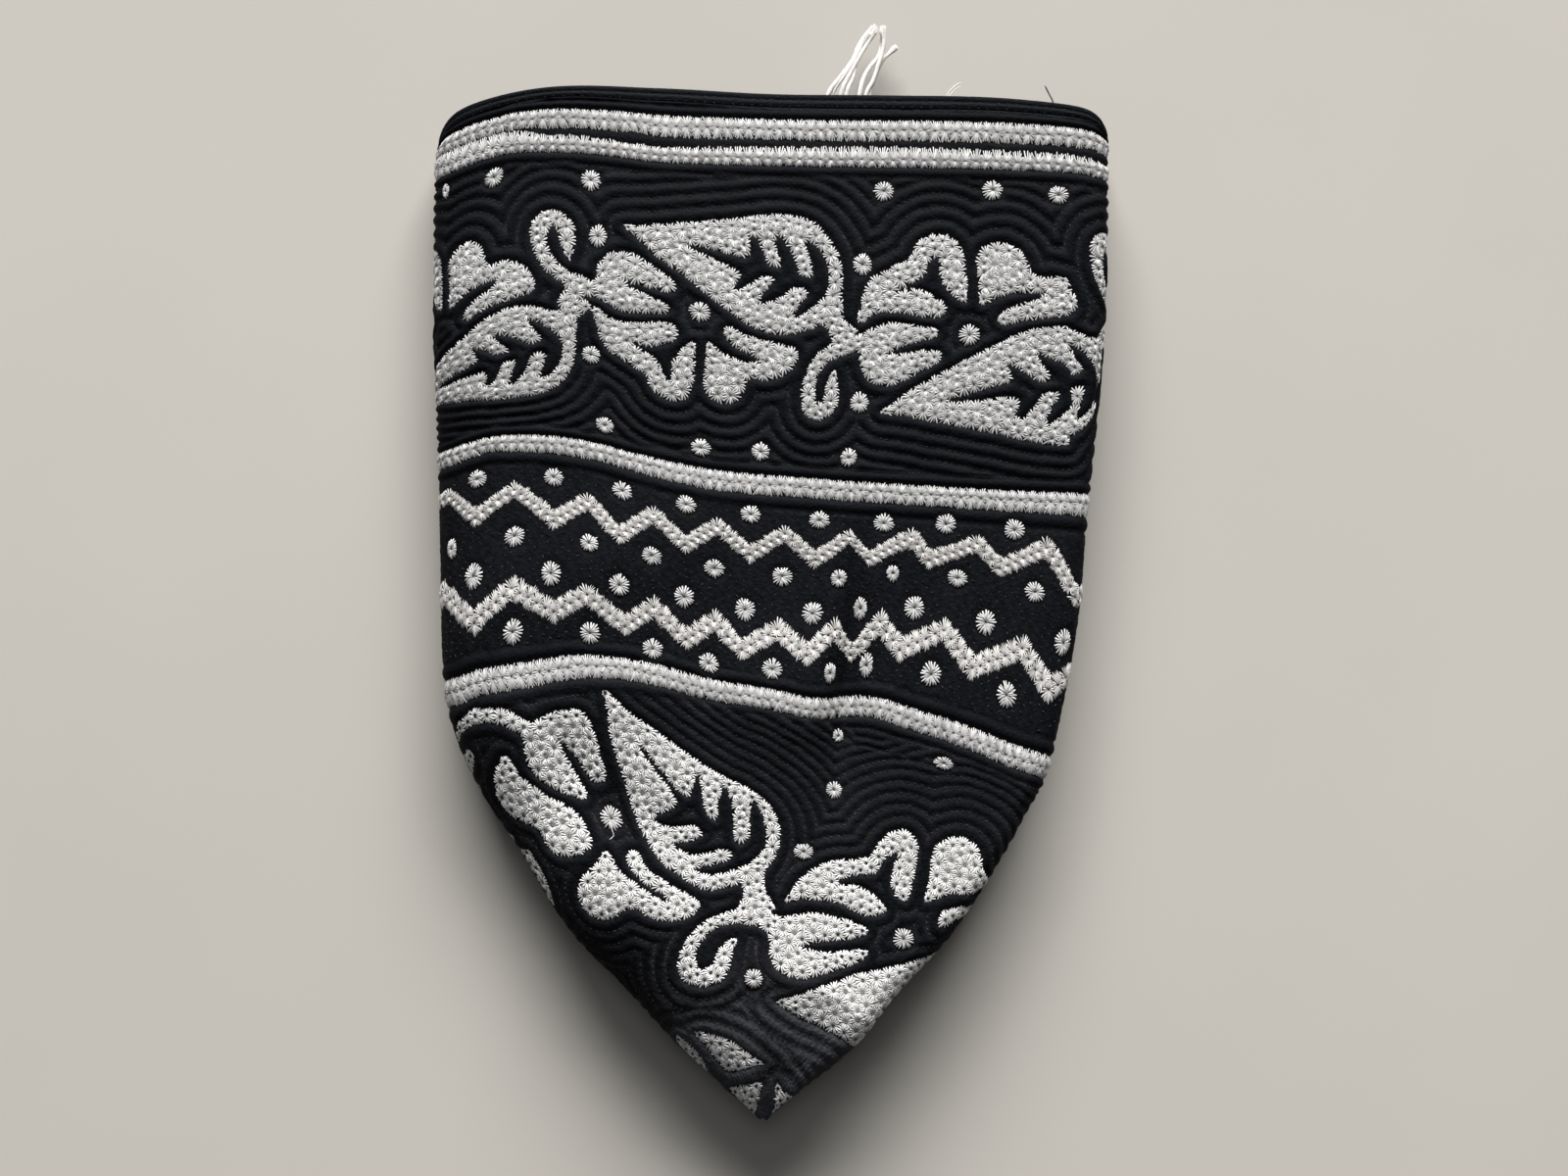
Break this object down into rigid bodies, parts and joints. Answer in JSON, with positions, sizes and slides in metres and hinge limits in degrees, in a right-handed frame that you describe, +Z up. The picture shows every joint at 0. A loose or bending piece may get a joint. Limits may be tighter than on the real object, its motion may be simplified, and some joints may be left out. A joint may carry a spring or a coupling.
{
  "type": "prayer cap folded in quarters",
  "caption": "Round brimless prayer cap of corded black cotton with white floral embroidery, folded flat into quarters, with a bound rim, tall side wall and shallow domed crown.",
  "frame": {"origin": "on the table under the middle of the folded cap's outline", "axes": "+Y from the tip of the crown to the rim, +X to the side with the two tight folds, +Z up from the table"},
  "size_m": [0.1405, 0.216, 0.0234],
  "materials": {
    "binding_cloth": "matt black cotton binding with two rows of stitches",
    "wall_cloth": "corded and quilted black cotton",
    "crown_cloth": "corded and quilted black cotton",
    "white_thread": "silky white embroidery thread"
  },
  "bodies": {
    "root": {"rim_binding": "binding_cloth", "side_wall": "wall_cloth", "crown": "crown_cloth"}
  },
  "joints": []
}
